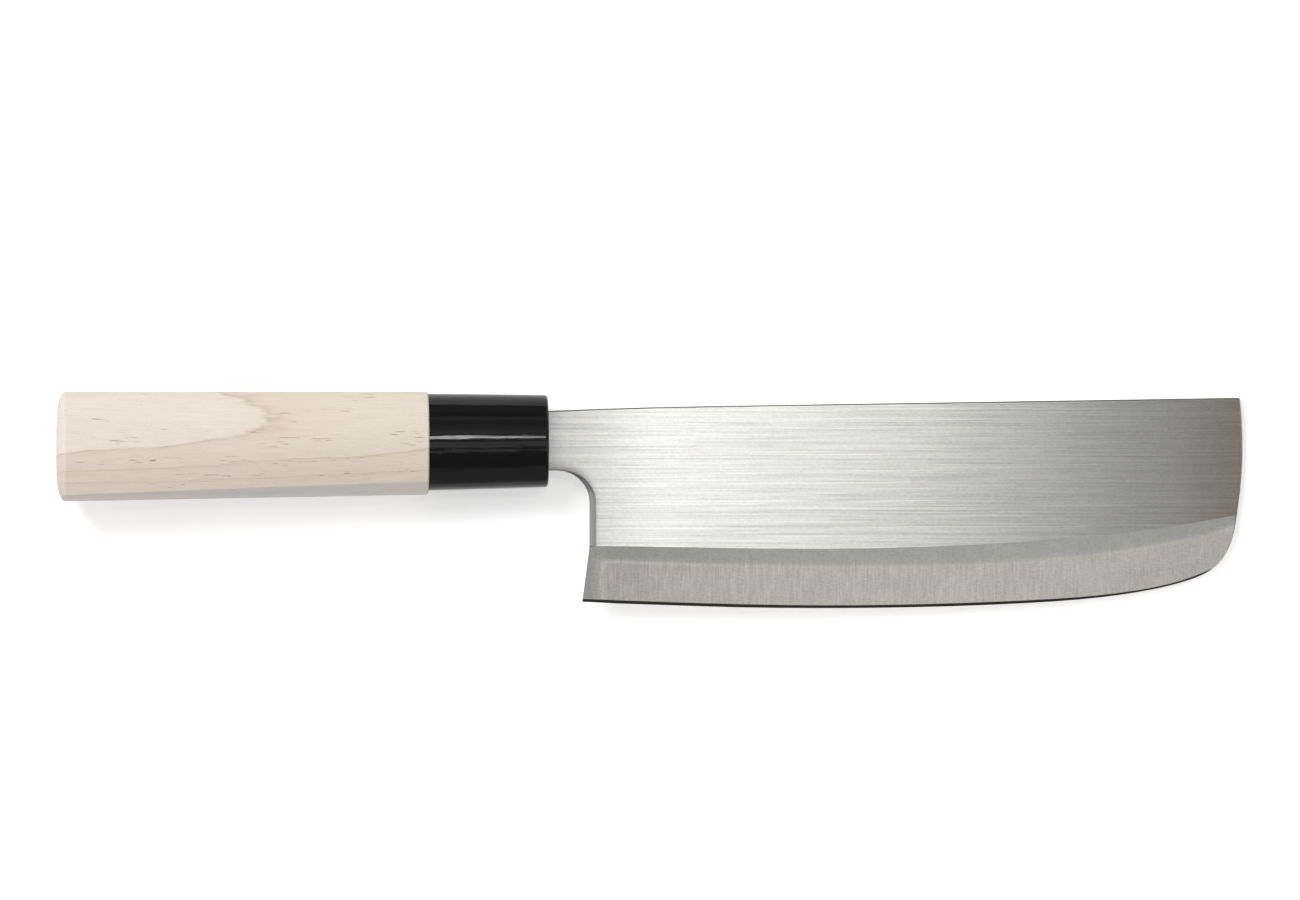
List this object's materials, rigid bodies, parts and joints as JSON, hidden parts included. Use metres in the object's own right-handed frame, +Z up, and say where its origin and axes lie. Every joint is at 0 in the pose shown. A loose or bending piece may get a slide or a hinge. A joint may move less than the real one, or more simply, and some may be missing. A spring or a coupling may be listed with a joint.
{
  "type": "nakiri knife",
  "caption": "Vegetable knife with a tall straight-backed blade, ground bevels, a finger notch at the heel, a black ferrule and a pale D-shaped wooden grip.",
  "frame": {"origin": "on the table, under the middle of the knife's box", "axes": "+X from the butt to the tip, +Y from the edge to the spine, +Z up, out of the right side. The knife lies on its left side as on a table, with its tip and the front of its ferrule down, so the blade slopes down to the tip by 2.77 degrees."},
  "size_m": [0.2961, 0.054, 0.0261],
  "materials": {
    "blade_steel": "brushed lengthwise on the flats and crosswise on the bevels",
    "core_steel": "ground crosswise, sharpened along the edge",
    "ferrule_plastic": "moulded, polished black",
    "grip_wood": "sanded bare, pale with faint tan grain",
    "bedding_resin": "set resin, unseen"
  },
  "bodies": {
    "root": {"blade_body": "blade_steel", "core_steel": "core_steel", "ferrule": "ferrule_plastic", "handle_grip": "grip_wood", "tang_bedding": "bedding_resin"}
  },
  "joints": []
}
